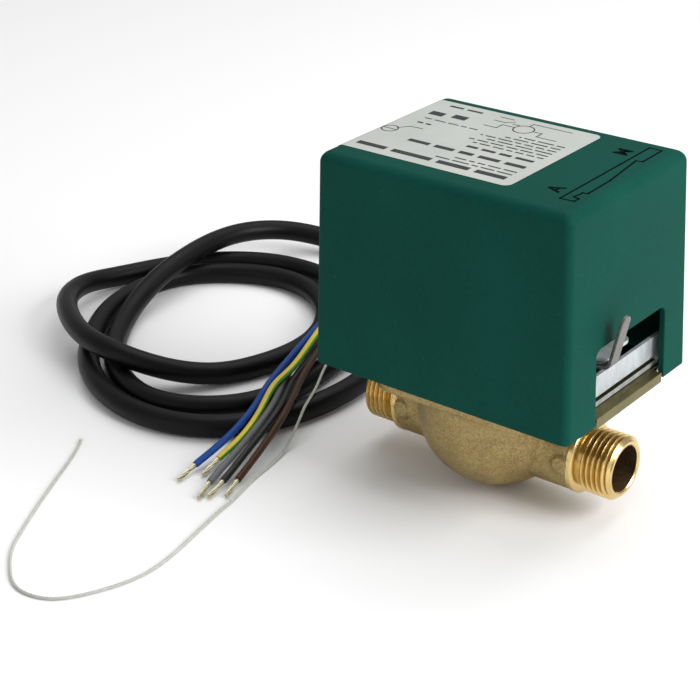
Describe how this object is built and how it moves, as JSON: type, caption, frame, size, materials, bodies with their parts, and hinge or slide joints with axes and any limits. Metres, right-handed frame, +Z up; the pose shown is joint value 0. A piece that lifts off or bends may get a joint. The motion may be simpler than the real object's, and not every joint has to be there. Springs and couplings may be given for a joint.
{
  "type": "zone valve",
  "caption": "Two-port motorised zone valve: brass body with threaded ports, spring-return motor under a steel cover, and a loose stripped lead.",
  "frame": {"origin": "middle of the inlet port's end face, on the pipe axis", "axes": "+X along the pipe from the inlet to the outlet, +Z up through the motor head, +Y towards the side the lead leaves"},
  "size_m": [0.2617, 0.2527, 0.1116],
  "materials": {
    "cast_brass": "sand-cast brass, ports machined bright, satin",
    "bright_brass": "machined brass, satin",
    "stainless": "turned stainless steel, bright",
    "plated_plate": "zinc plated and yellow passivated sheet steel",
    "zinc_plate": "bright zinc plated sheet steel",
    "steel_screw": "zinc plated steel screw",
    "green_paint": "dark green enamel on pressed steel, satin",
    "rating_paper": "printed film label, matt",
    "black_plastic": "moulded black plastic, satin",
    "white_plastic": "moulded white plastic, satin",
    "black_rubber": "black rubber, matt",
    "copper_winding": "enamelled copper winding",
    "tinned_copper": "tinned stranded copper",
    "sheath": "black flexible cable sheath, satin",
    "filler": "undyed twisted filler thread",
    "wire_blue": "blue core insulation, satin",
    "wire_green_yellow": "green and yellow striped core insulation, satin",
    "wire_grey": "grey core insulation, satin",
    "wire_black": "black core insulation, satin",
    "wire_brown": "brown core insulation, satin"
  },
  "bodies": {
    "valve": {"valve_body": "cast_brass", "inlet_seat_ring": "stainless", "bonnet_plate": "bright_brass", "bonnet_o_ring": "black_rubber", "stem_bush": "bright_brass", "base_plate": "plated_plate", "motor_bracket": "zinc_plate", "motor_can": "zinc_plate", "motor_plate": "zinc_plate", "motor_coil": "copper_winding", "gear_post": "stainless", "switch_case": "black_plastic", "switch_post": "black_plastic", "cover": "green_paint", "cover_screw": "steel_screw", "rating_label": "rating_paper", "cable_gland": "black_rubber", "inner_cable": "sheath", "cable_clamp": "white_plastic", "clamp_screw": "steel_screw", "earth_tag": "zinc_plate", "earth_screw": "bright_brass", "motor_wire_live": "wire_brown", "motor_wire_neutral": "wire_blue", "switch_wire_common": "wire_black", "switch_wire_contact": "wire_grey", "earth_wire": "wire_green_yellow", "lead_sheath": "sheath", "filler_thread": "filler", "plate_screw_1": "steel_screw", "plate_screw_2": "steel_screw", "plate_screw_3": "steel_screw", "plate_screw_4": "steel_screw", "bracket_screw_1": "steel_screw", "bracket_screw_2": "steel_screw", "motor_screw_1": "steel_screw", "motor_screw_2": "steel_screw", "switch_screw_1": "steel_screw", "switch_screw_2": "steel_screw", "core_blue": "wire_blue", "bare_end_blue": "tinned_copper", "core_green_yellow": "wire_green_yellow", "bare_end_green_yellow": "tinned_copper", "core_grey": "wire_grey", "bare_end_grey": "tinned_copper", "core_black": "wire_black", "bare_end_black": "tinned_copper", "core_brown": "wire_brown", "bare_end_brown": "tinned_copper"},
    "stem": {"valve_stem": "stainless", "paddle_arm": "bright_brass", "rubber_plug": "black_rubber", "sector_gear": "zinc_plate", "manual_lever": "zinc_plate", "lever_rivet": "stainless", "return_spring": "stainless"},
    "gear": {"reduction_gear": "white_plastic"},
    "rotor": {"motor_rotor": "black_plastic"},
    "contact_arm": {"switch_arm": "stainless"},
    "contact_button": {"switch_button": "white_plastic"}
  },
  "joints": [
    {"name": "stem_turn", "type": "hinge", "parent": "valve", "child": "stem", "pos_m": [0.045, 0.011, 0], "axis": [0, 0, 1], "range_deg": [0, 25]},
    {"name": "gear_turn", "type": "hinge", "parent": "valve", "child": "gear", "pos_m": [0.02732, -0.00668, 0], "axis": [0, 0, 1], "range_deg": [-101, 0.5]},
    {"name": "rotor_turn", "type": "hinge", "parent": "valve", "child": "rotor", "pos_m": [0.03815, -0.00043, 0], "axis": [0, 0, 1], "range_deg": [-0.5, 402]},
    {"name": "contact_arm_turn", "type": "hinge", "parent": "valve", "child": "contact_arm", "pos_m": [0.0668, -0.0113, 0.0355], "axis": [0, 0, 1], "range_deg": [-0.1, 3.9]},
    {"name": "contact_button_slide", "type": "slide", "parent": "valve", "child": "contact_button", "axis": [0, 1, 0], "range_m": [0, 0.00074]}
  ],
  "couplings": [
    {"joint": "gear_turn", "follows": "stem_turn", "ratio": -4},
    {"joint": "rotor_turn", "follows": "stem_turn", "ratio": 16},
    {"joint": "contact_arm_turn", "follows": "stem_turn", "ratio": 0.15},
    {"joint": "contact_button_slide", "follows": "stem_turn", "m_per_rad": 0.001637}
  ]
}
